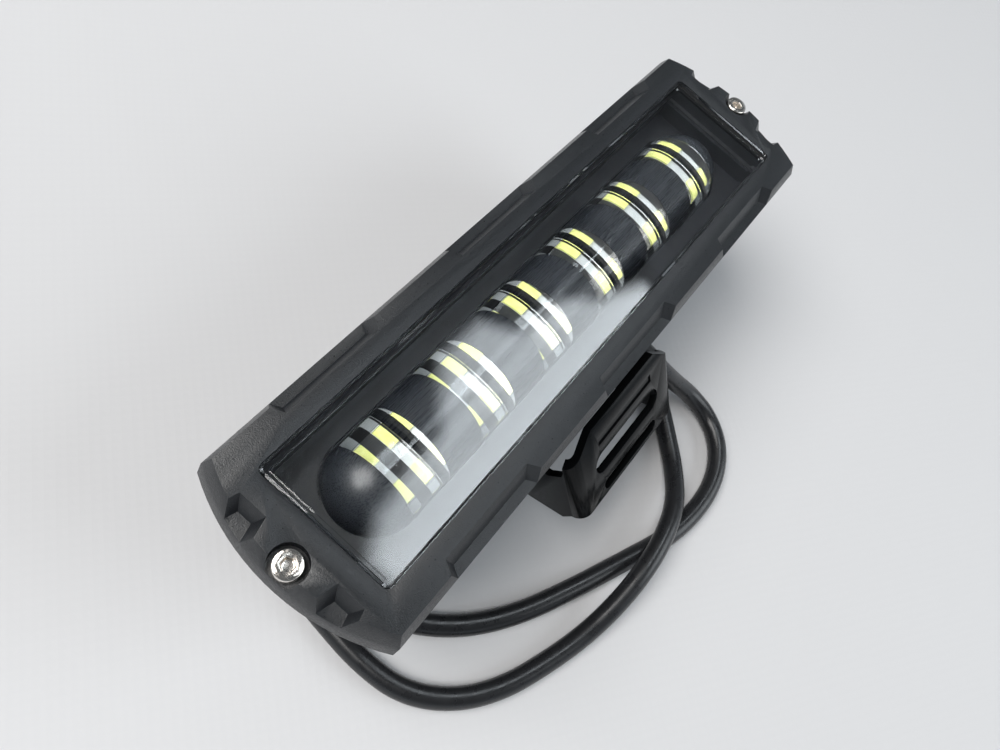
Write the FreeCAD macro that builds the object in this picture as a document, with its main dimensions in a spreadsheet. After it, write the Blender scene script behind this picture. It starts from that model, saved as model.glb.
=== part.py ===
import FreeCAD, Part
import math
import os

import Sketcher
from FreeCAD import Placement, Rotation, Vector

# LED light bar on a U bracket, lying on its back with the lens side up.
# +X runs along the bar, +Z is the way the light goes, and the bracket is folded out towards -Y.
# The origin is under the middle of the lamp, on the surface that its rear block stands on.

doc = FreeCAD.newDocument("LedLightBar")
sheet = doc.addObject("Spreadsheet::Sheet", "Sizes")

SIZES = [
    # bezel outline
    ("corner_half_length", 101.5), ("end_bulge", 7.5), ("bar_width", 60.0),
    ("step_height", 4.4), ("side_inset", 1.95), ("end_inset", 2.3), ("flange_height", 4.0),
    ("flange_draft", 1.2),
    # heights above the standing surface
    ("face_level", 76.0), ("body_bottom", 20.0), ("pivot_level", 13.0),
    # window and cover
    ("window_length", 190.6), ("window_width", 40.0), ("window_corner", 2.0),
    ("cover_lip", 3.0), ("cover_lip_thickness", 1.2), ("cover_gap", 0.25),
    ("cover_thickness", 2.2), ("bezel_lip", 2.2),
    ("cover_seal_thickness", 0.8), ("cover_rise", 0.3), ("cover_bevel", 0.6),
    # recesses and end notches
    ("recess_centre_length", 31.2), ("recess_outer_length", 28.2), ("recess_outer_at", 65.8),
    ("recess_depth", 2.8), ("recess_slant", 2.2), ("recess_draft", 30.0),
    ("notch_at", 14.5), ("notch_width", 4.0), ("notch_slant", 1.4), ("notch_inner_at", 103.6),
    # screws of the bezel
    ("screw_at", 105.1), ("screw_shank_radius", 2.0), ("screw_head_radius", 3.5),
    ("screw_head_height", 4.0), ("screw_length", 9.0), ("hex_across", 3.0), ("hex_depth", 2.2),
    ("counterbore_radius", 4.75), ("counterbore_depth", 4.2), ("hole_clearance", 0.25),
    # seals and housing
    ("gasket_thickness", 0.8), ("housing_flange", 3.2),
    ("housing_wall", 3.2), ("body_length", 193.0), ("body_width", 52.0), ("body_draft", 5.0),
    ("shelf_level", 54.1), ("fin_root", 44.0), ("fin_thickness", 2.2), ("fin_pitch", 7.2),
    ("fin_count", 7), ("well_half_length", 44.0), ("well_width", 32.0), ("well_floor", 41.2),
    ("block_length", 51.6), ("block_width", 36.0), ("block_corner", 4.0),
    ("tray_end_lap", 1.3), ("tray_side_gap", 1.0), ("end_rib_inner_at", 4.6),
    ("end_rib_outer_at", 18.5), ("end_rib_width", 2.8), ("end_rib_height", 9.0),
    ("retainer_wall", 2.4), ("arm_room_level", 38.0), ("lead_way_radius", 3.2),
    # light engine
    ("spreader_thickness", 2.0), ("spreader_gap", 0.3), ("pad_thickness", 0.5),
    ("board_length", 184.0), ("board_width", 28.0), ("board_thickness", 1.6),
    ("chip_length", 3.0), ("chip_width", 3.8), ("chip_height", 0.5), ("chip_row_gap", 7.2),
    ("chip_across_gap", 8.0), ("lens_pitch", 27.6), ("lens_width", 14.4), ("lens_radius", 13.3),
    ("lens_foot", 1.7), ("lens_foot_length", 11.0), ("chip_clearance", 0.4),
    ("lens_foot_width", 19.0), ("lens_gap", 0.15),
    ("shroud_wall", 1.6), ("shroud_flange", 1.7), ("shroud_rim", 2.6), ("dome_at", 75.4),
    ("trim_thickness", 1.2), ("trim_gap", 0.6),
    # bracket, in its own frame: a runs from the pivot towards the base plate, b across it
    ("bracket_thickness", 2.5), ("bracket_bend", 4.5),
    ("plate_at", 50.95), ("plate_low", -24.2), ("plate_high", 12.5), ("tongue_half_length", 18.0),
    ("shoulder_high", 3.5), ("plate_corner", 6.0), ("arm_end_radius", 11.0), ("bracket_turn", 35.9),
    ("wide_slot_at", -5.7), ("wide_slot_length", 36.8), ("wide_slot_width", 8.5),
    ("narrow_slot_at", -17.4), ("narrow_slot_length", 31.4), ("narrow_slot_width", 4.6),
    ("strip_at", 4.2), ("strip_length", 30.8), ("strip_width", 3.2), ("strip_depth", 0.5),
    ("side_gap", 0.3),
    # pivot bolts
    ("bolt_radius", 2.5), ("bolt_clearance", 0.06), ("bolt_head_radius", 4.25),
    ("bolt_head_height", 5.0), ("bolt_reach", 12.0), ("washer_radius", 5.5),
    ("washer_thickness", 1.0), ("spring_washer_radius", 4.6), ("spring_washer_thickness", 1.3),
    ("bolt_hex_across", 4.0), ("bolt_hex_depth", 2.6),
    # cable gland, cord and connector
    ("gland_at", 38.0), ("gland_level", 25.0), ("gland_radius", 6.0), ("gland_thread_radius", 4.6),
    ("gland_flange", 2.0), ("gland_end", 29.0), ("cord_diameter", 7.0),
    ("gland_wall_inset", 5.0), ("gland_boss_wall", 1.6), ("gland_boss_depth", 10.0),
    ("gland_bore_depth", 8.0), ("gland_thread_depth", 1.0), ("lead_way_depth", 5.0),
    ("core_radius", 0.9), ("core_gap", 2.4), ("core_rise", 3.0), ("core_end_inset", 3.0),
    ("connector_length", 30.0), ("connector_width", 13.0), ("connector_height", 11.0),
    ("boot_length", 9.0), ("pin_radius", 1.1), ("pin_length", 12.0), ("pin_gap", 5.4),
    ("socket_wall", 1.3), ("socket_depth", 14.0),
    # driver
    ("driver_length", 62.0), ("driver_width", 26.0), ("driver_level", 43.5),
    ("driver_thickness", 1.6), ("post_radius", 2.2),
    ("coil_radius", 6.0), ("coil_height", 6.5), ("can_radius", 4.0), ("can_height", 8.0),
    ("board_screw_radius", 1.25), ("board_screw_head", 2.4), ("board_screw_inset", 3.6),
    ("vent_at", -60.0), ("vent_radius", 4.0), ("vent_height", 2.2), ("vent_stem_radius", 2.4),
]
for row, (alias, value) in enumerate(SIZES, start=1):
    sheet.set("A%d" % row, alias)
    sheet.set("B%d" % row, str(value))
    sheet.setAlias("B%d" % row, alias)
# levels that follow from the sizes above
LEVELS = [
    ("ledge_level", "=face_level - step_height"),
    ("flange_level", "=face_level - step_height - flange_height"),
    ("housing_top", "=face_level - step_height - flange_height - gasket_thickness"),
    ("end_radius", "=(bar_width * bar_width / 4 + end_bulge * end_bulge) / (2 * end_bulge)"),
    ("end_centre", "=corner_half_length + end_bulge - (bar_width * bar_width / 4"
                   " + end_bulge * end_bulge) / (2 * end_bulge)"),
    ("pad_level", "=shelf_level + spreader_thickness"),
    ("board_level", "=shelf_level + spreader_thickness + pad_thickness"),
    ("board_top", "=shelf_level + spreader_thickness + pad_thickness + board_thickness"),
    ("lens_axis", "=shelf_level + spreader_thickness + pad_thickness + board_thickness"
                  " + shroud_flange"),
    ("cover_top", "=face_level + cover_rise"),
    ("cover_lip_top", "=face_level - bezel_lip"),
    ("tray_length", "=window_length - 2 * tray_end_lap"),
    ("tray_width", "=window_width + 2 * tray_side_gap"),
    ("gland_wall", "=-body_width / 2 + gland_wall_inset"),
    ("boss_reach", "=gland_radius + gland_boss_wall"),
    ("block_half", "=block_length / 2"),
    ("bracket_half", "=block_length / 2 + side_gap + bracket_thickness"),
    ("arm_room_half", "=block_length / 2 + bracket_thickness + 2 * side_gap"),
]
for row, (alias, formula) in enumerate(LEVELS, start=len(SIZES) + 2):
    sheet.set("A%d" % row, alias)
    sheet.set("B%d" % row, formula)
    sheet.setAlias("B%d" % row, alias)
doc.recompute()


def size(alias):
    return float(sheet.get(alias))


# ---------------------------------------------------------------- building blocks
def cells(text):
    """A formula written with bare aliases, as an expression on the sheet."""
    out, word = "", ""
    for char in text + " ":
        if char.isalnum() or char == "_":
            word += char
            continue
        out += "Sizes." + word if word and not word[0].isdigit() and word not in FUNCTIONS else word
        out += char
        word = ""
    return out.strip()


FUNCTIONS = ("sqrt",)
TURNS = {"z": Rotation(), "x": Rotation(Vector(0, 1, 0), 90), "y": Rotation(Vector(1, 0, 0), -90),
         "-x": Rotation(Vector(0, 1, 0), -90), "-y": Rotation(Vector(1, 0, 0), 90),
         "-z": Rotation(Vector(1, 0, 0), 180)}


def bind(item, **formulas):
    for prop, formula in formulas.items():
        item.setExpression(prop, cells(formula))


def stand_at(item, place, along="z"):
    item.Placement = Placement(Vector(), TURNS[along])
    for axis, formula in zip("xyz", place):
        item.setExpression("Placement.Base." + axis, cells(formula))


def block(name, low, high):
    item = doc.addObject("Part::Box", name)
    spans = ["(%s) - (%s)" % (top, bottom) for bottom, top in zip(low, high)]
    bind(item, Length=spans[0], Width=spans[1], Height=spans[2])
    stand_at(item, low)
    return item


def rod(name, radius, length, place, along="z"):
    item = doc.addObject("Part::Cylinder", name)
    bind(item, Radius=radius, Height=length)
    stand_at(item, place, along)
    return item


def taper(name, radius_low, radius_high, length, place, along="z"):
    if abs(evaluate(radius_low) - evaluate(radius_high)) < 1e-9:
        return rod(name, radius_low, length, place, along)
    item = doc.addObject("Part::Cone", name)
    bind(item, Radius1=radius_low, Radius2=radius_high, Height=length)
    stand_at(item, place, along)
    return item


def ball(name, radius, place):
    item = doc.addObject("Part::Sphere", name)
    bind(item, Radius=radius)
    stand_at(item, place)
    return item


def join(name, *items):
    item = doc.addObject("Part::MultiFuse", name)
    item.Shapes = list(items)
    item.Refine = True
    return item


def shared(name, *items):
    item = doc.addObject("Part::MultiCommon", name)
    item.Shapes = list(items)
    return item


def carve(name, base, *tools):
    item = doc.addObject("Part::Cut", name)
    item.Base = base
    item.Tool = tools[0] if len(tools) == 1 else join(name + "_tools", *tools)
    return item


def group(name, *items):
    item = doc.addObject("Part::Compound", name)
    item.Links = list(items)
    return item


def outline(name, points, base=("0", "0", "0"), turn=Rotation()):
    """A closed sketch of straight lines; each corner is a pair of formulas."""
    sketch = doc.addObject("Sketcher::SketchObject", name)
    sketch.Placement = Placement(Vector(), turn)
    for axis, formula in zip("xyz", base):
        sketch.setExpression("Placement.Base." + axis, cells(formula))
    numbers = [(evaluate(x), evaluate(y)) for x, y in points]
    count = len(points)
    for index in range(count):
        start, end = numbers[index], numbers[(index + 1) % count]
        sketch.addGeometry(Part.LineSegment(Vector(*start, 0), Vector(*end, 0)), False)
    for index in range(count):
        sketch.addConstraint(Sketcher.Constraint("Coincident", index, 2, (index + 1) % count, 1))
    for index, (point, number) in enumerate(zip(points, numbers)):
        for kind, formula, value in zip(("DistanceX", "DistanceY"), point, number):
            which = sketch.addConstraint(Sketcher.Constraint(kind, index, 1, value))
            sketch.setExpression("Constraints[%d]" % which, cells(formula))
    return sketch


def evaluate(formula):
    """The present value of a formula in bare aliases, for a sketch's first drawing."""
    sheet.set("D1", "=" + formula)
    sheet.recompute()
    return float(sheet.get("D1"))


def prism(name, sketch, length, direction=(0, 0, 1), draft=None, both=False):
    item = doc.addObject("Part::Extrusion", name)
    item.Base = sketch
    item.DirMode = "Custom"
    item.Dir = Vector(*direction)
    item.Solid = True
    item.Symmetric = both
    bind(item, LengthFwd=length)
    if draft:
        bind(item, TaperAngle=draft)
    return item


def rounded(name, base, radius, choose):
    """Fillets the edges that choose picks, with a radius from the sheet's present value."""
    doc.recompute()
    item = doc.addObject("Part::Fillet", name)
    item.Base = base
    item.Edges = [(index, radius, radius) for index, edge in enumerate(base.Shape.Edges, start=1)
                  if choose(edge)]
    return item


def bevelled(name, base, width, choose):
    doc.recompute()
    item = doc.addObject("Part::Chamfer", name)
    item.Base = base
    item.Edges = [(index, width, width) for index, edge in enumerate(base.Shape.Edges, start=1)
                  if choose(edge)]
    return item


def upright(edge):
    start, end = edge.Vertexes[0].Point, edge.Vertexes[-1].Point
    return len(edge.Vertexes) == 2 and (start - end).Length > 0.1 and \
        abs(abs((end - start).normalize().z) - 1) < 1e-6


def ring_plate(name, length, width, wall, low, high):
    """A flat rectangular frame round the lamp's middle."""
    outer = block(name + "_outer", ("-(%s)/2" % length, "-(%s)/2" % width, low),
                  ("(%s)/2" % length, "(%s)/2" % width, high))
    inner = block(name + "_inner",
                  ("-(%s)/2 + %s" % (length, wall), "-(%s)/2 + %s" % (width, wall), low + " - 1"),
                  ("(%s)/2 - %s" % (length, wall), "(%s)/2 - %s" % (width, wall), high + " + 1"))
    return carve(name + "_frame", outer, inner)


def bulged_slab(name, shrink, low, high, side_high="0", end_low="0", end_high="0"):
    """The bar's outline, straight at the sides and bowed at the ends, smaller by shrink."""
    half_low = "bar_width/2 - (%s)" % shrink
    half_high = "bar_width/2 - (%s) + %s" % (shrink, side_high)
    profile = outline(name + "_profile", [("-(%s)" % half_low, "0"), (half_low, "0"),
                                          (half_high, "(%s) - (%s)" % (high, low)),
                                          ("-(%s)" % half_high, "(%s) - (%s)" % (high, low))],
                      base=("0", "0", low), turn=Rotation(Vector(1, 1, 1), 120))
    length = prism(name + "_sides", profile, "2*corner_half_length + 2*end_bulge + 6", (1, 0, 0),
                   both=True)
    middle = block(name + "_middle", ("-end_centre", "-bar_width", low),
                   ("end_centre", "bar_width", high))
    ends = [taper("%s_end_%d" % (name, side + 1), "end_radius - (%s) + %s" % (shrink, end_low),
                  "end_radius - (%s) + %s" % (shrink, end_high), "(%s) - (%s)" % (high, low),
                  ("%d * end_centre" % side, "0", low)) for side in (-1, 1)]
    return shared(name, length, join(name + "_span", middle, *ends))


# ---------------------------------------------------------------- bezel
def make_bezel():
    flange = bulged_slab("bezel_flange", "0", "flange_level", "ledge_level", end_low="flange_draft")
    raised = bulged_slab("bezel_raised", "0", "ledge_level", "face_level",
                         side_high="-side_inset", end_high="-end_inset")
    tools = []
    for side in (-1, 1):
        for place, length in (("-recess_outer_at", "recess_outer_length"),
                              ("0", "recess_centre_length"),
                              ("recess_outer_at", "recess_outer_length")):
            inner = "bar_width/2 - recess_depth"
            corners = [("-(%s)/2" % length, inner), ("(%s)/2" % length, inner),
                       ("(%s)/2 + recess_slant*2" % length, inner + " + 8"),
                       ("-(%s)/2 - recess_slant*2" % length, inner + " + 8")]
            label = "recess_%d" % (len(tools) + 1)
            turn = Rotation() if side > 0 else Rotation(Vector(0, 0, 1), 180)
            sketch = outline(label + "_plan", corners, base=(place, "0", "ledge_level"), turn=turn)
            tools.append(prism(label, sketch, "step_height + 1", draft="recess_draft"))
    for end in (-1, 1):
        for side in (-1, 1):
            corners = [("notch_inner_at", "notch_at - notch_width/2"),
                       ("notch_inner_at + 10", "notch_at - notch_width/2 - notch_slant*2"),
                       ("notch_inner_at + 10", "notch_at + notch_width/2 + notch_slant*2"),
                       ("notch_inner_at", "notch_at + notch_width/2")]
            if side < 0:
                corners = [(x, "-(%s)" % y) for x, y in reversed(corners)]
            label = "notch_%d%d" % (end + 1, side + 1)
            turn = Rotation() if end > 0 else Rotation(Vector(0, 0, 1), 180)
            sketch = outline(label + "_plan", corners, base=("0", "0", "ledge_level"), turn=turn)
            tools.append(prism(label, sketch, "step_height + 1", draft="recess_draft"))
        place = "%d * screw_at" % end
        tools.append(rod("counterbore_%d" % (end + 1), "counterbore_radius", "counterbore_depth + 2",
                         (place, "0", "face_level - counterbore_depth")))
        tools.append(rod("bezel_hole_%d" % (end + 1), "screw_shank_radius + hole_clearance",
                         "face_level", (place, "0", "flange_level - 1")))
    window = block("window", ("-window_length/2", "-window_width/2", "flange_level - 1"),
                   ("window_length/2", "window_width/2", "face_level + 1"))
    window = rounded("window_corners", window, size("window_corner"), upright)
    pocket = block("cover_pocket",
                   ("-window_length/2 - cover_lip", "-window_width/2 - cover_lip",
                    "flange_level - 1"),
                   ("window_length/2 + cover_lip", "window_width/2 + cover_lip", "cover_lip_top"))
    pocket = rounded("pocket_corners", pocket, size("window_corner") + size("cover_lip"), upright)
    return carve("front_bezel", join("bezel_blank", flange, raised), window, pocket, *tools)


def socket_screw(name, place, head_bottom, shank, head, height, reach, across, depth, along="z",
                 step=1):
    """A socket head cap screw; place is a point on its axis, without the coordinate along it."""
    into, out = ("-", "+") if step > 0 else ("+", "-")

    def spot(level):
        return (place[0], place[1], level) if along.endswith("z") else (level, place[0], place[1])
    body = rod(name + "_shank", shank, "%s + 0.01" % reach,
               spot("(%s) %s (%s)" % (head_bottom, into, reach)), along)
    top = rod(name + "_head", head, height, spot(head_bottom), along)
    hexagon = doc.addObject("Part::Prism", name + "_hex")
    hexagon.Polygon = 6
    bind(hexagon, Circumradius="(%s)/sqrt(3)" % across, Height="%s + 1" % depth)
    stand_at(hexagon, spot("(%s) %s ((%s) - (%s))" % (head_bottom, out, height, depth)), along)
    return carve(name, join(name + "_blank", body, top), hexagon)


def make_bezel_screws():
    screws = [socket_screw("bezel_screw_%d" % (end + 1), ("%d * screw_at" % end, "0"),
                           "face_level - counterbore_depth", "screw_shank_radius",
                           "screw_head_radius", "screw_head_height", "screw_length",
                           "hex_across", "hex_depth") for end in (-1, 1)]
    return group("bezel_screws", *screws)


# ---------------------------------------------------------------- cover and seals
def make_cover():
    raised = block("cover_raised",
                   ("-window_length/2 + cover_gap", "-window_width/2 + cover_gap",
                    "cover_lip_top - cover_lip_thickness"),
                   ("window_length/2 - cover_gap", "window_width/2 - cover_gap", "cover_top"))
    raised = rounded("cover_corners", raised, size("window_corner") - size("cover_gap"), upright)
    top = size("cover_top")
    raised = bevelled("cover_bevelled", raised, size("cover_bevel"),
                      lambda edge: all(abs(v.Z - top) < 1e-6 for v in edge.Vertexes))
    lip = block("cover_lip_plate",
                ("-window_length/2 - cover_lip + cover_gap",
                 "-window_width/2 - cover_lip + cover_gap", "cover_lip_top - cover_lip_thickness"),
                ("window_length/2 + cover_lip - cover_gap",
                 "window_width/2 + cover_lip - cover_gap", "cover_lip_top"))
    lip = rounded("cover_lip_corners", lip, size("window_corner") + size("cover_lip")
                  - size("cover_gap"), upright)
    hollow = block("cover_hollow",
                   ("-window_length/2 + cover_thickness", "-window_width/2 + cover_thickness",
                    "cover_lip_top - cover_lip_thickness - 1"),
                   ("window_length/2 - cover_thickness", "window_width/2 - cover_thickness",
                    "cover_top - cover_thickness"))
    return carve("lens_cover", join("cover_blank", raised, lip), hollow)


def make_cover_seal():
    frame = ring_plate("cover_seal", "window_length + 2*cover_lip - 2*cover_gap",
                       "window_width + 2*cover_lip - 2*cover_gap", "cover_lip - cover_gap",
                       "cover_lip_top - cover_lip_thickness - cover_seal_thickness",
                       "cover_lip_top - cover_lip_thickness")
    doc.recompute()
    corner = size("window_corner") + size("cover_lip") - size("cover_gap")
    far = size("window_length") / 2 + 0.5
    return rounded("cover_seal", frame, corner,
                   lambda edge: upright(edge) and abs(edge.Vertexes[0].X) > far)


def make_gasket():
    outer = bulged_slab("gasket_outer", "1.2", "housing_top", "flange_level")
    inner = block("gasket_inner",
                  ("-window_length/2 - cover_lip", "-window_width/2 - cover_lip",
                   "housing_top - 1"),
                  ("window_length/2 + cover_lip", "window_width/2 + cover_lip",
                   "flange_level + 1"))
    holes = [rod("gasket_hole_%d" % (end + 1), "screw_shank_radius + 2*hole_clearance", "4",
                 ("%d * screw_at" % end, "0", "housing_top - 1")) for end in (-1, 1)]
    return carve("housing_gasket", outer, inner, *holes)


# ---------------------------------------------------------------- housing
def drafted_box(name, half_length, half_width, low, high, draft):
    """A box that gets smaller downwards by draft degrees."""
    corners = [("-(%s)" % half_length, "-(%s)" % half_width), (half_length, "-(%s)" % half_width),
               (half_length, half_width), ("-(%s)" % half_length, half_width)]
    sketch = outline(name + "_plan", corners, base=("0", "0", high))
    return prism(name, sketch, "(%s) - (%s)" % (high, low), (0, 0, -1), draft="-(%s)" % draft)


def make_housing():
    flange = bulged_slab("housing_rim", "0.8", "housing_top - housing_flange", "housing_top")
    body = drafted_box("housing_body", "body_length/2", "body_width/2", "body_bottom",
                       "housing_top - housing_flange + 0.01", "body_draft")
    stand = block("rear_block", ("-block_half", "-block_width/2", "0"),
                  ("block_half", "block_width/2", "fin_root"))
    stand = rounded("rear_block_rounded", stand, size("block_corner"), upright)
    slots = []
    count = int(size("fin_count"))
    for index in range(count + 1):
        middle = "(%s) * fin_pitch" % (index - count / 2)
        for side in (-1, 1):
            low, high = (("arm_room_half + fin_thickness", "body_length") if side > 0
                         else ("-body_length", "-arm_room_half - fin_thickness"))
            slots.append(block("fin_gap_%d_%d" % (index, side + 1),
                               (low, middle + " - (fin_pitch - fin_thickness)/2",
                                "body_bottom - 1"),
                               (high, middle + " + (fin_pitch - fin_thickness)/2", "fin_root")))
    gaps = join("fin_gaps", *slots)
    boss = block("gland_boss", ("gland_at - boss_reach", "gland_wall",
                                "gland_level - gland_radius - 1"),
                 ("gland_at + boss_reach", "-well_width/2 + gland_boss_depth", "fin_root"))
    arm_rooms = [block("arm_room_%d" % (side + 1),
                       ("block_half" if side > 0 else "-arm_room_half", "-body_width", "0"),
                       ("arm_room_half" if side > 0 else "-block_half",
                        "arm_end_radius + 2", "arm_room_level")) for side in (-1, 1)]
    lead_way = rod("lead_way", "lead_way_radius", "well_floor - gland_level + lead_way_radius",
                   ("gland_at", "-well_width/2 + lead_way_depth",
                    "gland_level - lead_way_radius + 1"))
    room = block("gland_room", ("gland_at - boss_reach", "-body_width", "body_bottom - 1"),
                 ("gland_at + boss_reach", "gland_wall", "fin_root - 6"))
    vent_room = rod("vent_room", "vent_radius + 1", "fin_root - body_bottom + 1",
                    ("vent_at", "0", "body_bottom - 1"))
    ribs = [block("end_rib_%d" % index,
                  ("-corner_half_length - end_bulge" if x < 0 else "body_length/2 - 6",
                   "%s - end_rib_width/2" % y, "housing_top - end_rib_height"),
                  ("-body_length/2 + 6" if x < 0 else "corner_half_length + end_bulge",
                   "%s + end_rib_width/2" % y, "housing_top - 0.6"))
            for index, (x, y) in enumerate((x, y) for x in (-1, 1) for y in
                                           ("end_rib_inner_at", "-end_rib_inner_at",
                                            "end_rib_outer_at", "-end_rib_outer_at"))]
    ribs = shared("end_ribs", join("end_rib_blocks", *ribs),
                  bulged_slab("end_rib_limit", "0.2", "housing_top - end_rib_height - 1",
                              "housing_top"))
    floor = block("well_walls", ("-well_half_length - housing_wall", "-well_width/2 - 3",
                                 "well_floor - housing_wall"),
                  ("well_half_length + housing_wall", "well_width/2 + 3", "shelf_level"))
    tray = block("tray", ("-tray_length/2", "-tray_width/2", "shelf_level"),
                 ("tray_length/2", "tray_width/2", "housing_top + 1"))
    well = block("well", ("-well_half_length", "-well_width/2", "well_floor"),
                 ("well_half_length", "well_width/2", "shelf_level + 1"))
    bore = rod("gland_bore", "gland_thread_radius", "body_width",
               ("gland_at", "-well_width/2 + gland_bore_depth", "gland_level"), "-y")
    pivots = [rod("pivot_hole_%d" % (side + 1), "bolt_radius", "bolt_reach + 1",
                  ("%d * (block_half - bolt_reach - 1)" % side, "0", "pivot_level"),
                  "x" if side > 0 else "-x") for side in (-1, 1)]
    screws = [rod("housing_hole_%d" % (end + 1), "screw_shank_radius", "housing_flange + 2",
                  ("%d * screw_at" % end, "0", "housing_top - housing_flange - 1"))
              for end in (-1, 1)]
    mounts = [rod("board_hole_%d" % index, "board_screw_radius", "6",
                  (x, y, "shelf_level - 5")) for index, (x, y) in enumerate(board_screw_places())]
    vent = rod("vent_hole", "vent_stem_radius", "shelf_level",
               ("vent_at", "0", "fin_root - 3"))
    finned = carve("finned_body", body, gaps, room, vent_room)
    solid = join("housing_solid", flange, finned, stand, boss, floor, ribs)
    return carve("housing", solid, tray, well, bore, lead_way, vent,
                 *(pivots + screws + mounts + arm_rooms))


def board_screw_places():
    x = "(board_length/2 - board_screw_inset)"
    y = "(board_width/2 - board_screw_inset)"
    places = [("%s%s" % (sx, x), "%s%s" % (sy, y)) for sx in ("-", "") for sy in ("-", "")]
    return places + [("-lens_pitch*2", "-" + y), ("lens_pitch*2", y)]


def make_vent():
    cap = rod("vent_cap", "vent_radius", "vent_height", ("vent_at", "0", "fin_root - vent_height"))
    stem = rod("vent_stem", "vent_stem_radius - 0.02", "vent_height + 4",
               ("vent_at", "0", "fin_root - vent_height"))
    return join("breather_vent", cap, stem)


# ---------------------------------------------------------------- light engine
def make_board():
    plate = block("board_plate", ("-board_length/2", "-board_width/2", "board_level"),
                  ("board_length/2", "board_width/2", "board_top"))
    holes = [rod("board_clear_%d" % index, "board_screw_radius + 0.2", "4",
                 (x, y, "board_level - 1")) for index, (x, y) in enumerate(board_screw_places())]
    return carve("led_board", plate, *holes)


def make_pad():
    plate = block("pad_plate", ("-board_length/2", "-board_width/2", "pad_level"),
                  ("board_length/2", "board_width/2", "board_level"))
    holes = [rod("pad_clear_%d" % index, "board_screw_radius + 0.4", "4",
                 (x, y, "pad_level - 1")) for index, (x, y) in enumerate(board_screw_places())]
    holes += [rod("pad_lead_%d" % index, "core_radius + 0.3", "4", (x, y, "pad_level - 1"))
              for index, (x, y) in enumerate(output_lead_places())]
    return carve("thermal_pad", plate, *holes)


def output_lead_places():
    return [("-driver_length/2 + 6", "%d * core_gap" % side) for side in (-1, 1)]


def make_spreader():
    plate = block("spreader_plate",
                  ("-tray_length/2 + spreader_gap", "-tray_width/2 + spreader_gap", "shelf_level"),
                  ("tray_length/2 - spreader_gap", "tray_width/2 - spreader_gap", "pad_level"))
    holes = [rod("spreader_clear_%d" % index, "board_screw_radius + 0.2", "6",
                 (x, y, "shelf_level - 1")) for index, (x, y) in enumerate(board_screw_places())]
    holes += [rod("spreader_lead_%d" % index, "core_radius + 0.5", "6", (x, y, "shelf_level - 1"))
              for index, (x, y) in enumerate(output_lead_places())]
    return carve("heat_spreader", plate, *holes)


def make_retainer():
    """The frame that clamps the cover's lip and its seal, standing on the housing's rim."""
    reach = "2*cover_lip - 2*cover_gap"
    plate = ring_plate("retainer", "window_length + " + reach, "window_width + " + reach,
                       "retainer_wall", "housing_top",
                       "cover_lip_top - cover_lip_thickness - cover_seal_thickness")
    far = size("window_length") / 2 + 1
    corner = size("window_corner") + size("cover_lip") - size("cover_gap")
    doc.recompute()
    return rounded("cover_retainer", plate, corner,
                   lambda edge: upright(edge) and abs(edge.Vertexes[0].X) > far)


def make_board_screws():
    screws = []
    for index, (x, y) in enumerate(board_screw_places()):
        shank = rod("board_shank_%d" % index, "board_screw_radius",
                    "board_top - shelf_level + 4", (x, y, "shelf_level - 4"))
        head = rod("board_head_%d" % index, "board_screw_head", "1.1", (x, y, "board_top"))
        screws.append(join("board_screw_%d" % index, shank, head))
    return group("board_screws", *screws)


def lens_place(index):
    return "(%s) * lens_pitch" % (index - 2.5)


def make_chips():
    chips = []
    for index in range(6):
        for row in (-1, 1):
            for side in (-1, 1):
                x = "%s + %d * chip_row_gap/2" % (lens_place(index), row)
                y = "%d * chip_across_gap/2" % side
                chips.append(block("chip_%d%d%d" % (index, row + 1, side + 1),
                                   (x + " - chip_length/2", y + " - chip_width/2", "board_top"),
                                   (x + " + chip_length/2", y + " + chip_width/2",
                                    "board_top + chip_height")))
    return group("led_chips", *chips)


def make_lens(index):
    name = "lens_%d" % (index + 1)
    middle = lens_place(index)
    barrel = rod(name + "_barrel", "lens_radius", "lens_width - 2*lens_gap",
                 (middle + " - lens_width/2 + lens_gap", "0", "lens_axis"), "x")
    upper = block(name + "_upper", (middle + " - lens_width", "-lens_radius - 1", "lens_axis"),
                  (middle + " + lens_width", "lens_radius + 1", "lens_axis + lens_radius + 1"))
    foot = block(name + "_foot", (middle + " - lens_foot_length/2", "-lens_foot_width/2",
                                  "lens_axis - lens_foot"),
                 (middle + " + lens_foot_length/2", "lens_foot_width/2", "lens_axis"))
    chip_room = block(name + "_chip_room",
                      (middle + " - lens_width", "-(chip_across_gap + chip_width)/2"
                       " - chip_clearance", "board_top - 1"),
                      (middle + " + lens_width", "(chip_across_gap + chip_width)/2"
                       " + chip_clearance", "board_top + chip_height + chip_clearance"))
    blank = join(name + "_blank", shared(name + "_half", barrel, upper), foot)
    return carve(name, blank, chip_room)


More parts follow.
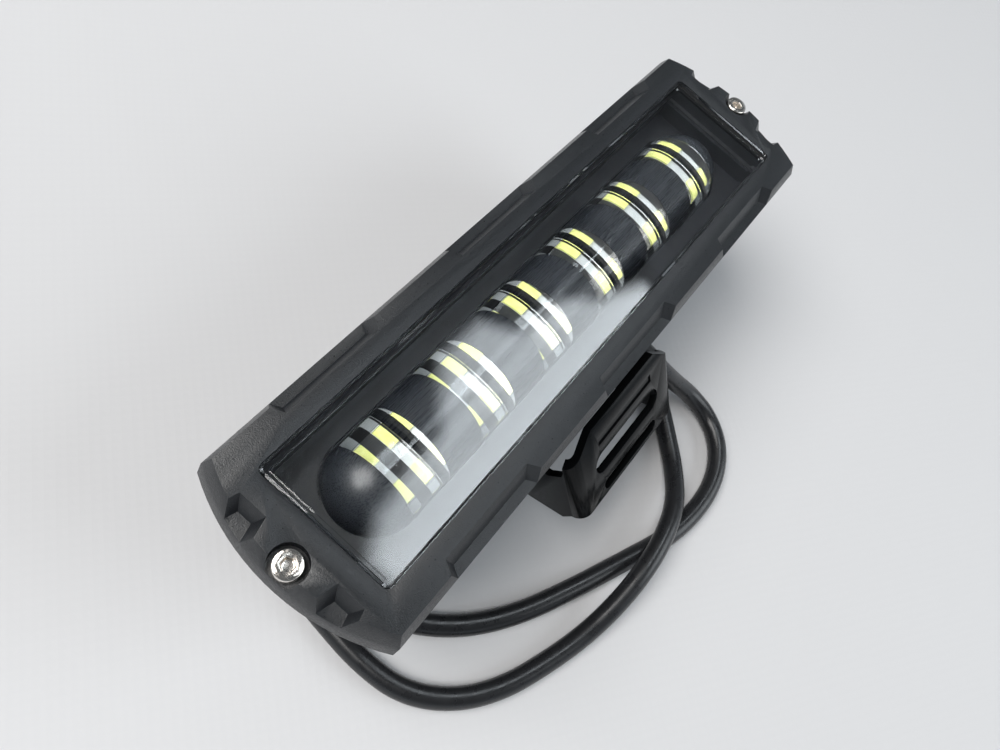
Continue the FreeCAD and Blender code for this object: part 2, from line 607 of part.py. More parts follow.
def make_shroud():
    def capsule(name, radius):
        tube = rod(name + "_tube", radius, "2*dome_at", ("-dome_at", "0", "lens_axis"), "x")
        domes = [ball(name + "_dome_%d" % (end + 1), radius, ("%d * dome_at" % end, "0",
                                                             "lens_axis")) for end in (-1, 1)]
        return join(name, tube, *domes)
    upper = block("shroud_upper", ("-dome_at*2", "-lens_radius*2", "lens_axis"),
                  ("dome_at*2", "lens_radius*2", "lens_axis + lens_radius*2"))
    shell = carve("shroud_shell", capsule("shroud_outer", "lens_radius"),
                  capsule("shroud_inner", "lens_radius - shroud_wall"))
    arch = shared("shroud_arch", shell, upper)
    flange = block("shroud_flange_plate",
                   ("-dome_at - lens_radius - shroud_rim", "-lens_radius - shroud_rim",
                    "lens_axis - shroud_flange"),
                   ("dome_at + lens_radius + shroud_rim", "lens_radius + shroud_rim",
                    "lens_axis"))
    tools = []
    for index in range(6):
        middle = lens_place(index)
        tools.append(block("lens_slot_%d" % index,
                           (middle + " - lens_width/2", "-lens_radius - 1", "lens_axis"),
                           (middle + " + lens_width/2", "lens_radius + 1",
                            "lens_axis + lens_radius + 1")))
        tools.append(block("foot_slot_%d" % index,
                           (middle + " - lens_foot_length/2 - lens_gap",
                            "-lens_foot_width/2 - lens_gap", "lens_axis - shroud_flange - 1"),
                           (middle + " + lens_foot_length/2 + lens_gap",
                            "lens_foot_width/2 + lens_gap", "lens_axis + 1")))
    for index, (x, y) in enumerate(board_screw_places()):
        tools.append(rod("shroud_clear_%d" % index, "board_screw_head + 0.3", "3",
                         (x, y, "lens_axis - shroud_flange - 1")))
    return carve("lens_shroud", join("shroud_blank", arch, flange), *tools)


def make_trim():
    plate = block("trim_plate", ("-tray_length/2 + trim_gap", "-tray_width/2 + trim_gap",
                                 "lens_axis"),
                  ("tray_length/2 - trim_gap", "tray_width/2 - trim_gap", "housing_top"))
    dish = block("trim_dish", ("-tray_length/2 + trim_gap + trim_thickness",
                               "-tray_width/2 + trim_gap + trim_thickness",
                               "lens_axis + trim_thickness"),
                 ("tray_length/2 - trim_gap - trim_thickness",
                  "tray_width/2 - trim_gap - trim_thickness", "housing_top + 1"))
    slot = [rod("trim_round_%d" % (end + 1), "lens_radius + trim_gap", "4",
                ("%d * dome_at" % end, "0", "lens_axis - 1")) for end in (-1, 1)]
    straight = block("trim_straight", ("-dome_at", "-lens_radius - trim_gap", "lens_axis - 1"),
                     ("dome_at", "lens_radius + trim_gap", "lens_axis + 3"))
    return carve("inner_trim", plate, dish, straight, *slot)


# ---------------------------------------------------------------- driver
def make_driver():
    board = block("driver_board", ("-driver_length/2", "-driver_width/2", "driver_level"),
                  ("driver_length/2", "driver_width/2", "driver_level + driver_thickness"))
    top = "driver_level + driver_thickness"
    coil = rod("driver_coil", "coil_radius", "coil_height", ("-driver_length/4", "0", top))
    cans = group("driver_capacitors",
                 *[rod("can_%d" % (side + 1), "can_radius", "can_height",
                       ("driver_length/6", "%d * driver_width/4" % side, top))
                   for side in (-1, 1)])
    chips = group("driver_chips",
                  *[block("driver_chip_%d" % index,
                          ("%d" % x, "%d" % y, top), ("%d" % (x + 5), "%d" % (y + 4), top + " + 1.6"))
                    for index, (x, y) in enumerate(((-2, -9), (-2, 5), (19, -2)))])
    posts = group("driver_posts",
                  *[rod("post_%d%d" % (sx + 1, sy + 1), "post_radius",
                        "driver_level - well_floor",
                        ("%d * (driver_length/2 - 4)" % sx, "%d * (driver_width/2 - 4)" % sy,
                         "well_floor")) for sx in (-1, 1) for sy in (-1, 1)])
    leads = group("output_leads",
                  *[rod("output_lead_%d" % index, "core_radius", "board_level - (%s)" % top,
                        (x, y, top)) for index, (x, y) in enumerate(output_lead_places())])
    return [board, coil, cans, chips, posts, leads]


# ---------------------------------------------------------------- bracket and pivot
def make_bracket():
    side = Rotation(Vector(1, 1, 1), 120)
    reach = "arm_end_radius + 1"
    outer = block("bracket_outer", ("-bracket_half", "-(%s)" % reach, "plate_low - 1"),
                  ("bracket_half", "plate_at", "plate_high + 8"))
    front = size("plate_at")
    outer = rounded("bracket_bends", outer, size("bracket_bend"),
                    lambda edge: upright(edge) and abs(edge.Vertexes[0].Y - front) < 1e-6)
    inner = block("bracket_inner",
                  ("-bracket_half + bracket_thickness", "-(%s) - 1" % reach,
                   "plate_low - 2"),
                  ("bracket_half - bracket_thickness", "plate_at - bracket_thickness",
                   "plate_high + 9"))
    back = size("plate_at") - size("bracket_thickness")
    inner = rounded("bracket_inner_bends", inner, size("bracket_bend") - size("bracket_thickness"),
                    lambda edge: upright(edge) and abs(edge.Vertexes[0].Y - back) < 1e-6)
    strip = carve("bracket_strip", outer, inner)
    # side view: the arm narrows from the plate to the round end at the pivot
    arm = outline("arm_view", [("plate_at + 1", "plate_low + 3"), ("plate_at - 5", "plate_low + 3"),
                               ("plate_at - 9", "plate_low"),
                               ("plate_at - 21.5", "plate_low + 2.4"),
                               ("-arm_end_radius*0.325", "-arm_end_radius*0.945"),
                               ("arm_end_radius*0.364", "arm_end_radius*0.932"),
                               ("plate_at - 11", "shoulder_high - 7.2"),
                               ("plate_at - 5.5", "shoulder_high - 4.6"),
                               ("plate_at - bracket_bend + 0.01", "shoulder_high - 2.4"),
                               ("plate_at - bracket_bend + 0.01", "plate_high"),
                               ("plate_at + 1", "plate_high")], turn=side)
    arm = prism("arm_sheet", arm, "2*bracket_half + 4", (1, 0, 0), both=True)
    end = rod("arm_round", "arm_end_radius", "2*bracket_half + 4",
              ("-bracket_half - 2", "0", "0"), "x")
    # front view: a tongue with chamfered corners stands above the bends
    plate = outline("plate_view", [("-bracket_half", "plate_low + plate_corner/2"),
                                   ("-bracket_half + plate_corner", "plate_low"),
                                   ("bracket_half - plate_corner", "plate_low"),
                                   ("bracket_half", "plate_low + plate_corner/2"),
                                   ("bracket_half", "shoulder_high"),
                                   ("tongue_half_length", "plate_high"),
                                   ("-tongue_half_length", "plate_high"),
                                   ("-bracket_half", "shoulder_high")],
                    turn=Rotation(Vector(1, 0, 0), 90))
    plate = prism("plate_sheet", plate, "bracket_thickness + bracket_bend", (0, 1, 0))
    bind(plate, LengthFwd="plate_at + 4", LengthRev="-(plate_at - bracket_bend)")
    near = block("arm_zone", ("-2*bracket_half", "-plate_at", "-plate_at"),
                 ("2*bracket_half", "plate_at - bracket_bend + 0.01", "plate_at"))
    zone = join("bracket_zone", plate, near)
    tools = [rod("pivot_bore", "bolt_radius + bolt_clearance", "2*bracket_half + 4",
                 ("-bracket_half - 2", "0", "0"), "x")]
    for name in ("wide_slot", "narrow_slot"):
        half = "(%s_length/2 - %s_width/2)" % (name, name)
        ends = [rod("%s_end_%d" % (name, sign + 1), name + "_width/2", "8",
                    ("%d * %s" % (sign, half), "plate_at + 2", name + "_at"), "-y")
                for sign in (-1, 1)]
        middle = block(name + "_middle", ("-" + half, "plate_at - 6", name + "_at - %s_width/2"
                                          % name), (half, "plate_at + 2",
                                                    name + "_at + %s_width/2" % name))
        tools.append(join(name, middle, *ends))
    tools.append(block("label_recess", ("-strip_length/2", "plate_at - strip_depth",
                                        "strip_at - strip_width/2"),
                       ("strip_length/2", "plate_at + 1", "strip_at + strip_width/2")))
    bracket = carve("bracket", shared("bracket_blank", strip, join("arm_shape", arm, end), zone),
                    *tools)
    # a runs towards -Y and up by the turn, b stays across it
    turn = Rotation(Vector(0, 0, 1), 180).multiply(
        Rotation(Vector(1, 0, 0), size("bracket_turn")))
    bracket.Placement = Placement(Vector(0, 0, size("pivot_level")), turn)
    return bracket


def make_pivot_hardware():
    bolts, flats, springs = [], [], []
    for side in (-1, 1):
        along = "x" if side > 0 else "-x"
        face = "block_half + side_gap + bracket_thickness + side_gap"

        def at(offset):
            return ("%d * (%s + %s)" % (side, face, offset), "0", "pivot_level")

        def washer(name, radius, thickness, offset):
            disc = rod(name + "_disc", radius, thickness, at(offset), along)
            hole = rod(name + "_hole", "bolt_radius + 0.1", thickness + " + 2",
                       at("(%s) - 1" % offset), along)
            return carve(name, disc, hole)
        flats.append(washer("washer_%d" % (side + 1), "washer_radius", "washer_thickness", "0"))
        springs.append(washer("spring_%d" % (side + 1), "spring_washer_radius",
                              "spring_washer_thickness", "washer_thickness"))
        stack = "washer_thickness + spring_washer_thickness"
        shank = rod("pivot_shank_%d" % (side + 1), "bolt_radius - 0.02",
                    "bolt_reach + 2*side_gap + bracket_thickness + " + stack,
                    ("%d * (block_half - bolt_reach)" % side, "0", "pivot_level"), along)
        head = rod("pivot_head_%d" % (side + 1), "bolt_head_radius", "bolt_head_height",
                   at(stack), along)
        hexagon = doc.addObject("Part::Prism", "pivot_hex_%d" % (side + 1))
        hexagon.Polygon = 6
        bind(hexagon, Circumradius="bolt_hex_across/sqrt(3)", Height="bolt_hex_depth + 1")
        stand_at(hexagon, at(stack + " + bolt_head_height - bolt_hex_depth"), along)
        bolts.append(carve("pivot_bolt_%d" % (side + 1),
                           join("pivot_blank_%d" % (side + 1), shank, head), hexagon))
    return [group("pivot_bolts", *bolts), group("flat_washers", *flats),
            group("spring_washers", *springs)]


# ---------------------------------------------------------------- gland, cord and connector
def make_gland():
    place = ("gland_at", "gland_wall", "gland_level")
    flange = rod("gland_collar", "gland_radius", "gland_flange", place, "-y")
    thread = rod("gland_thread", "gland_thread_radius - 0.02",
                 "gland_thread_depth - well_width/2 - gland_wall",
                 ("gland_at", "-well_width/2 + gland_thread_depth", "gland_level"), "-y")
    bore = rod("gland_through", "cord_diameter/2", "body_width", ("gland_at", "0", "gland_level"),
               "-y")
    body = carve("gland_body", join("gland_body_blank", flange, thread), bore)
    nut_at = ("gland_at", "gland_wall - gland_flange", "gland_level")
    nut = taper("gland_nut_blank", "gland_radius - 0.3", "cord_diameter/2 + 1.2",
                "gland_end + gland_wall - gland_flange", nut_at, "-y")
    nut = carve("gland_nut", nut, rod("gland_nut_bore", "cord_diameter/2", "body_width",
                                      ("gland_at", "0", "gland_level"), "-y"))
    inside = "-well_width/2 + lead_way_depth"
    over = "driver_level + driver_thickness + core_rise"
    leads = []
    for side in (-1, 1):
        x, label = "gland_at + %d * core_gap/2" % side, "core_%d" % (side + 1)
        end = "driver_length/2 - core_end_inset"
        y = "(%s) + (%d) * core_gap/2" % (inside, side)
        leads.append(join(label + "_lead",
                          rod(label, "core_radius", "gland_end + (%s)" % y,
                              (x, y, "gland_level"), "-y"),
                          ball(label + "_low", "core_radius", (x, y, "gland_level")),
                          rod(label + "_rise", "core_radius", "(%s) - gland_level" % over,
                              (x, y, "gland_level")),
                          ball(label + "_high", "core_radius", (x, y, over)),
                          rod(label + "_across", "core_radius", "%s - (%s)" % (x, end),
                              (x, y, over), "-x"),
                          ball(label + "_end", "core_radius", (end, y, over)),
                          rod(label + "_drop", "core_radius", "core_rise",
                              (end, y, "driver_level + driver_thickness"))))
    leads = group("lead_cores", *leads)
    return [body, nut, leads]


# The route was chosen by hand: out of the gland, round in front of the bracket, under the near
# end, back along the far side, under the lamp and once more round to the near end.
CORD_ROUTE = [
    (38, -29, 25), (38, -36, 25), (40.5, -43.5, 20), (46, -51.5, 12.5), (51, -60, 6.5),
    (51, -71, 3.5), (43.5, -81, 3.5), (31, -86.8, 3.5), (15.5, -87.5, 3.5), (-1, -84.2, 3.5),
    (-20, -76, 3.5), (-40, -67.2, 3.5), (-58, -58.3, 3.5), (-72.5, -47.5, 3.5),
    (-83, -34, 3.5), (-89, -18, 3.5), (-89, -1, 3.5), (-82, 13.5, 3.5), (-68, 21.5, 3.5),
    (-50, 24.3, 3.5), (-28, 25.2, 3.5), (-6, 25.1, 3.5), (13, 24.8, 3.5), (29, 22.8, 3.5),
    (43, 13, 3.5), (52, -2.5, 3.5), (54.5, -20, 3.5), (51.5, -36, 3.5), (43.5, -49.5, 3.5),
    (32.5, -61.5, 3.5), (21.5, -71.8, 4.6), (8.5, -78.2, 9.2), (-5, -80.8, 11.5),
    (-19, -81.8, 11.3), (-33, -81.6, 8.2), (-47.5, -79.6, 4.6), (-63, -74.8, 3.5),
    (-79, -68, 3.5), (-91.5, -58, 3.5), (-99.5, -44.5, 3.5), (-101, -29, 3.5),
    (-99.5, -13, 3.5), (-97.4, 3, 3.5), (-93, 17.5, 3.5), (-83.5, 30, 3.7), (-70, 36.5, 5.5),
    (-56, 36.5, 5.5),
]


def cord_wire(points):
    """Straight runs joined by tangent arcs, each as large as its two runs allow."""
    edges, radii, start = [], [], points[0]
    for before, corner, after in zip(points, points[1:], points[2:]):
        back, ahead = (before - corner), (after - corner)
        turn = math.pi - back.getAngle(ahead)
        cut = 0.45 * min(back.Length, ahead.Length)
        radii.append(cut / math.tan(turn / 2))
        first = corner + Vector(back).normalize() * cut
        last = corner + Vector(ahead).normalize() * cut
        bisector = (Vector(back).normalize() + Vector(ahead).normalize()).normalize()
        reach = math.hypot(radii[-1], cut) - radii[-1]
        edges.append(Part.LineSegment(start, first).toShape())
        edges.append(Part.Arc(first, corner + bisector * reach, last).toShape())
        start = last
    edges.append(Part.LineSegment(start, points[-1]).toShape())
    return Part.Wire(edges), radii


def make_cord():
    points = [Vector(*point) for point in CORD_ROUTE]
    wire, radii = cord_wire(points)
    radius = size("cord_diameter") / 2
    ring = Part.Wire(Part.makeCircle(radius, points[0], points[1] - points[0]))
    tube = Part.Wire(wire).makePipeShell([ring], True, False)
    cord = doc.addObject("Part::Feature", "power_cord")
    cord.Shape = tube
    expected = math.pi * radius * radius * wire.Length
    print("cord length %.1f, smallest arc %.1f, volume %.0f of %.0f"
          % (wire.Length, min(radii), tube.Volume, expected))
    print("cord radii", [round(value, 1) for value in radii])
    return cord


def make_connector():
    start = Vector(*CORD_ROUTE[-1])
    x, y, level = ("%.3f" % value for value in start)
    boot = taper("boot_cone", "cord_diameter/2 + 0.9", "connector_height/2 - 0.6", "boot_length",
                 (x, y, level), "x")
    boot = carve("connector_boot", boot,
                 rod("boot_bore", "0.9", "boot_length + 2", (x + " - 1", y, level), "x"))
    front = x + " + boot_length"
    shell = block("connector_blank", (front, y + " - connector_width/2", "0"),
                  (front + " + connector_length", y + " + connector_width/2",
                   "connector_height"))
    shell = rounded("connector_rounded", shell, 1.5,
                    lambda edge: len(edge.Vertexes) == 2 and
                    abs(edge.Vertexes[0].Y - edge.Vertexes[1].Y) < 1e-6 and
                    abs(edge.Vertexes[0].Z - edge.Vertexes[1].Z) < 1e-6)
    cavity = block("connector_cavity",
                   (front + " + connector_length - socket_depth",
                    y + " - connector_width/2 + socket_wall", "socket_wall"),
                   (front + " + connector_length + 1", y + " + connector_width/2 - socket_wall",
                    "connector_height - socket_wall"))
    ways = [rod("pin_way_%d" % (side + 1), "pin_radius", "6",
                (front + " + connector_length - socket_depth - 5",
                 "%s + %d * pin_gap/2" % (y, side), level), "x") for side in (-1, 1)]
    latch = block("connector_latch", (front + " + 6", y + " - 2.5", "connector_height - 0.01"),
                  (front + " + 16", y + " + 2.5", "connector_height + 1.2"))
    body = carve("connector_body", join("connector_shell", shell, latch), cavity, *ways)
    pins = group("connector_pins",
                 *[rod("pin_%d" % (side + 1), "pin_radius", "pin_length",
                       (front + " + connector_length - socket_depth - 5",
                        "%s + %d * pin_gap/2" % (y, side), level), "x") for side in (-1, 1)])
    return [boot, body, pins]


# ---------------------------------------------------------------- the whole lamp
parts = [make_bezel(), make_bezel_screws(), make_cover(), make_cover_seal(), make_gasket(),
         make_housing(), make_vent(), make_board(), make_pad(), make_board_screws(), make_chips(),
         make_shroud(), make_trim(), make_spreader(), make_retainer()]
parts += [make_lens(index) for index in range(6)]
parts += make_driver()
parts.append(make_bracket())
parts += make_pivot_hardware()
parts += make_gland()
parts.append(make_cord())
parts += make_connector()
sheet.clear("D1")
doc.recompute()

for item in doc.Objects:
    if "Invalid" in item.State or "Error" in item.State:
        raise RuntimeError("%s did not build: %s" % (item.Name, item.State))
for part in parts:
    if part.Shape.isNull() or not part.Shape.isValid() or part.Shape.Volume <= 0:
        raise RuntimeError(part.Label + " has no valid solid")

os.makedirs("parts", exist_ok=True)
for part in parts:
    part.Shape.exportStep("parts/%s.step" % part.Label)
print(len(parts), "parts written")
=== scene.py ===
import math

import bmesh
import bpy
from mathutils import Matrix, Vector


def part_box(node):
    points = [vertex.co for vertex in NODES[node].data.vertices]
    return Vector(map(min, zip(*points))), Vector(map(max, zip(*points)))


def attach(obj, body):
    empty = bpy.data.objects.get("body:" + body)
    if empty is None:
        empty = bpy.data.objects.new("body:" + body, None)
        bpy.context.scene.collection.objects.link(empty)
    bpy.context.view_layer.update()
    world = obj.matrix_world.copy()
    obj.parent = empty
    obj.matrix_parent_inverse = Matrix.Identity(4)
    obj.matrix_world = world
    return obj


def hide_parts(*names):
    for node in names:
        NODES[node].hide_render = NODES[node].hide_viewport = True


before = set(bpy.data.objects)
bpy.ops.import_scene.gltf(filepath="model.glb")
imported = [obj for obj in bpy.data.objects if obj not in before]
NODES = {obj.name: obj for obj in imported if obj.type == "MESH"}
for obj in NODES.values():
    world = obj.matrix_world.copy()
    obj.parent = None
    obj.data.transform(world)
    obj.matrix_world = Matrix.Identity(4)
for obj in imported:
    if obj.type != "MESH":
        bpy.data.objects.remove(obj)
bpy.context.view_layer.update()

# The LED light bar, lens side up: materials for every CAD node, softened edges on the pieces
# that show, the power cord as a smooth line, and a pale floor under soft studio light.

MM = 0.001
LAMP = "lamp"
BRACKET = "bracket"

LENS_MIDDLES = [sum(corner[0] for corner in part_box("lens_%d" % (index + 1))) / 2
                for index in range(6)]

# under each lens, a row of chips lies this far to each side of its middle
LENS_PITCH = LENS_MIDDLES[1] - LENS_MIDDLES[0]
CHIP_ROW = 3.6 * MM
STRIP_HALF_WIDTH = 1.6 * MM


# ---------------------------------------------------------------- camera
def make_camera():
    """A phone's wide lens, about a quarter of a metre above the near end."""
    data = bpy.data.cameras.new("camera")
    data.sensor_width = 36
    data.lens = 27.04
    data.clip_start = 0.01
    camera = bpy.data.objects.new("camera", data)
    right = Vector((0.6047, -0.7428, 0.2874))
    up = Vector((0.6365, 0.6676, 0.3862))
    back = right.cross(up)
    turn = Matrix((right, up, back)).transposed().to_4x4()
    camera.matrix_world = Matrix.Translation((-0.1286, -0.0146, 0.244)) @ turn
    bpy.context.collection.objects.link(camera)
    bpy.context.scene.camera = camera


# ---------------------------------------------------------------- the cord
CORD_DIAMETER = 7 * MM
# the same route as the cord's solid: gland, near end, far side, under the lamp, near
# end once more, connector
CORD_ROUTE = [
    (38, -29, 25), (38, -36, 25), (40.5, -43.5, 20), (46, -51.5, 12.5), (51, -60, 6.5),
    (51, -71, 3.5), (43.5, -81, 3.5), (31, -86.8, 3.5), (15.5, -87.5, 3.5), (-1, -84.2, 3.5),
    (-20, -76, 3.5), (-40, -67.2, 3.5), (-58, -58.3, 3.5), (-72.5, -47.5, 3.5),
    (-83, -34, 3.5), (-89, -18, 3.5), (-89, -1, 3.5), (-82, 13.5, 3.5), (-68, 21.5, 3.5),
    (-50, 24.3, 3.5), (-28, 25.2, 3.5), (-6, 25.1, 3.5), (13, 24.8, 3.5), (29, 22.8, 3.5),
    (43, 13, 3.5), (52, -2.5, 3.5), (54.5, -20, 3.5), (51.5, -36, 3.5), (43.5, -49.5, 3.5),
    (32.5, -61.5, 3.5), (21.5, -71.8, 4.6), (8.5, -78.2, 9.2), (-5, -80.8, 11.5),
    (-19, -81.8, 11.3), (-33, -81.6, 8.2), (-47.5, -79.6, 4.6), (-63, -74.8, 3.5),
    (-79, -68, 3.5), (-91.5, -58, 3.5), (-99.5, -44.5, 3.5), (-101, -29, 3.5),
    (-99.5, -13, 3.5), (-97.4, 3, 3.5), (-93, 17.5, 3.5), (-83.5, 30, 3.7), (-70, 36.5, 5.5),
    (-56, 36.5, 5.5),
]


def make_cord(material):
    data = bpy.data.curves.new("power_lead", "CURVE")
    data.dimensions = "3D"
    data.bevel_depth = CORD_DIAMETER / 2
    data.bevel_resolution = 8
    data.use_fill_caps = True
    spline = data.splines.new("NURBS")
    spline.points.add(len(CORD_ROUTE) - 1)
    for point, (x, y, z) in zip(spline.points, CORD_ROUTE):
        point.co = (x * MM, y * MM, z * MM, 1)
    spline.order_u = 3
    spline.use_endpoint_u = True
    spline.resolution_u = 12
    cord = bpy.data.objects.new("power_lead", data)
    bpy.context.collection.objects.link(cord)
    data.materials.append(material)
    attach(cord, LAMP)
    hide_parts("power_cord")


# ---------------------------------------------------------------- materials
class Shader:
    """A Principled material whose roughness, colour and bump come from a few noise layers."""

    def __init__(self, name, colour, roughness, metallic=0.0, specular=0.5):
        self.material = bpy.data.materials.new(name)
        self.material.use_nodes = True
        self.tree = self.material.node_tree
        self.surface = self.tree.nodes["Principled BSDF"]
        self.surface.inputs["Base Color"].default_value = (*colour, 1)
        self.surface.inputs["Roughness"].default_value = roughness
        self.surface.inputs["Metallic"].default_value = metallic
        self.surface.inputs["Specular IOR Level"].default_value = specular
        self.colour, self.roughness = colour, roughness
        self.normal = None
        self.place = self.add("ShaderNodeTexCoord").outputs["Object"]

    def add(self, kind):
        return self.tree.nodes.new(kind)

    def link(self, source, target):
        self.tree.links.new(source, target)

    def math(self, kind, first, second=None):
        node = self.add("ShaderNodeMath")
        node.operation = kind
        for socket, value in zip(node.inputs, (first, second)):
            if isinstance(value, (int, float)):
                socket.default_value = value
            elif value is not None:
                self.link(value, socket)
        return node.outputs["Value"]

    def noise(self, per_metre, stretch=(1, 1, 1), detail=3.0, rough=0.55):
        mapping = self.add("ShaderNodeMapping")
        mapping.inputs["Scale"].default_value = [per_metre * part for part in stretch]
        self.link(self.place, mapping.inputs["Vector"])
        noise = self.add("ShaderNodeTexNoise")
        noise.inputs["Scale"].default_value = 1
        noise.inputs["Detail"].default_value = detail
        noise.inputs["Roughness"].default_value = rough
        self.link(mapping.outputs["Vector"], noise.inputs["Vector"])
        return noise.outputs["Fac"]

    def spread(self, factor, low, high, target, start=0.3, end=0.7):
        node = self.add("ShaderNodeMapRange")
        node.inputs["From Min"].default_value = start
        node.inputs["From Max"].default_value = end
        node.inputs["To Min"].default_value = low
        node.inputs["To Max"].default_value = high
        self.link(factor, node.inputs["Value"])
        self.link(node.outputs["Result"], self.surface.inputs[target])

    def vary_roughness(self, per_metre, amount, stretch=(1, 1, 1)):
        self.spread(self.noise(per_metre, stretch), max(0.02, self.roughness - amount),
                    min(1, self.roughness + amount), "Roughness")

    def vary_colour(self, per_metre, other, stretch=(1, 1, 1)):
        mix = self.add("ShaderNodeMix")
        mix.data_type = "RGBA"
        mix.inputs["A"].default_value = (*self.colour, 1)
        mix.inputs["B"].default_value = (*other, 1)
        self.link(self.noise(per_metre, stretch), mix.inputs["Factor"])
        self.link(mix.outputs["Result"], self.surface.inputs["Base Color"])

    def bump(self, factor, height_mm, strength=1.0):
        node = self.add("ShaderNodeBump")
        node.inputs["Strength"].default_value = strength
        node.inputs["Distance"].default_value = height_mm * MM
        self.link(factor, node.inputs["Height"])
        if self.normal:
            self.link(self.normal, node.inputs["Normal"])
        self.normal = node.outputs["Normal"]
        self.link(self.normal, self.surface.inputs["Normal"])

    def grain(self, per_metre, height_mm, stretch=(1, 1, 1), strength=1.0, detail=2.0):
        self.bump(self.noise(per_metre, stretch, detail), height_mm, strength)


def powder_coat():
    """Die-cast metal with a fine grained black powder coat whose gloss varies a little."""
    shader = Shader("bezel_coat", (0.007, 0.008, 0.0095), 0.36, specular=0.55)
    shader.vary_colour(900, (0.016, 0.018, 0.021))
    shader.vary_roughness(1500, 0.09)
    shader.grain(2900, 0.085, detail=3.0)
    return shader.material


def plain(name, colour, roughness, grain=1500, height=0.03, metallic=0.0,
          stretch=(1, 1, 1)):
    """A satin or matte surface with fine variation in gloss and height."""
    shader = Shader(name, colour, roughness, metallic)
    lighter = tuple(min(1, part * 1.25 + 0.004) for part in colour)
    shader.vary_colour(grain / 8, lighter, stretch)
    shader.vary_roughness(grain / 5, 0.06, stretch)
    shader.grain(grain, height, stretch)
    return shader.material


def shroud_finish():
    """Satin black with fine lines that run along the bar."""
    shader = Shader("shroud_satin", (0.008, 0.009, 0.011), 0.3, specular=0.6)
    along = (0.03, 1, 1)
    shader.vary_colour(5200, (0.026, 0.03, 0.036), along)
    shader.vary_roughness(4200, 0.12, along)
    shader.grain(5200, 0.012, along, strength=0.7)
    return shader.material


def gloss_coat():
    """The bracket's smooth powder coat, whose gloss varies a little."""
    shader = Shader("bracket_gloss", (0.004, 0.0045, 0.005), 0.22, specular=0.12)
    shader.vary_roughness(700, 0.05)
    return shader.material


def clear_plastic(name, tint, ior=1.49):
    """Solid clear plastic that bends what is behind it and lets lamps through."""
    shader = Shader(name, tint, 0.0)
    shader.surface.inputs["Transmission Weight"].default_value = 1
    shader.surface.inputs["IOR"].default_value = ior
    open_way = shader.add("ShaderNodeBsdfTransparent")
    open_way.inputs["Color"].default_value = (*tint, 1)
    rays = shader.add("ShaderNodeLightPath")
    mix = shader.add("ShaderNodeMixShader")
    shader.link(rays.outputs["Is Shadow Ray"], mix.inputs["Fac"])
    shader.link(shader.surface.outputs["BSDF"], mix.inputs[1])
    shader.link(open_way.outputs["BSDF"], mix.inputs[2])
    shader.link(mix.outputs["Shader"], shader.tree.nodes["Material Output"].inputs["Surface"])
    return shader.material


def board_finish():
    """A pale strip under each row of chips, and dark board around and between the rows."""
    shader = Shader("led_board_mask", (0.02, 0.02, 0.022), 0.35)
    split = shader.add("ShaderNodeSeparateXYZ")
    shader.link(shader.place, split.inputs["Vector"])
    distance = shader.math("PINGPONG", split.outputs["X"], LENS_PITCH / 2)
    distance = shader.math("SUBTRACT", LENS_PITCH / 2, distance)
    off_row = shader.math("ABSOLUTE", shader.math("SUBTRACT", distance, CHIP_ROW))
    strip = shader.math("LESS_THAN", off_row, STRIP_HALF_WIDTH)
    mix = shader.add("ShaderNodeMix")
    mix.data_type = "RGBA"
    mix.inputs["A"].default_value = (0.022, 0.023, 0.026, 1)
    mix.inputs["B"].default_value = (0.5, 0.53, 0.55, 1)
    shader.link(strip, mix.inputs["Factor"])
    shader.link(mix.outputs["Result"], shader.surface.inputs["Base Color"])
    shader.vary_roughness(900, 0.08)
    shader.grain(1200, 0.02)
    return shader.material


def chip_finish():
    """Yellow phosphor in a clear gel, its tone varying at random, with a faint painted glow that
    makes it read brighter.
    """
    shader = Shader("led_phosphor", (0.62, 0.66, 0.16), 0.25)
    shader.vary_colour(700, (0.82, 0.84, 0.38))
    shader.vary_roughness(900, 0.08)
    shader.grain(2500, 0.02)
    # painted glow: the unlit chips emit a little light of their own so they read brighter
    shader.surface.inputs["Emission Color"].default_value = (0.8, 0.86, 0.2, 1)
    shader.surface.inputs["Emission Strength"].default_value = 0.1
    return shader.material


def floor_finish():
    """A pale mat with small raised dots in a diagonal grid."""
    shader = Shader("mat", (0.7, 0.7, 0.71), 0.55, specular=0.2)
    dots = shader.add("ShaderNodeTexVoronoi")
    dots.inputs["Scale"].default_value = 330
    dots.inputs["Randomness"].default_value = 0.0
    turn = shader.add("ShaderNodeMapping")
    turn.inputs["Rotation"].default_value = (0, 0, math.radians(38))
    shader.link(shader.place, turn.inputs["Vector"])
    shader.link(turn.outputs["Vector"], dots.inputs["Vector"])
    shader.bump(dots.outputs["Distance"], 0.35, 0.16)
    shader.vary_roughness(300, 0.05)
    return shader.material


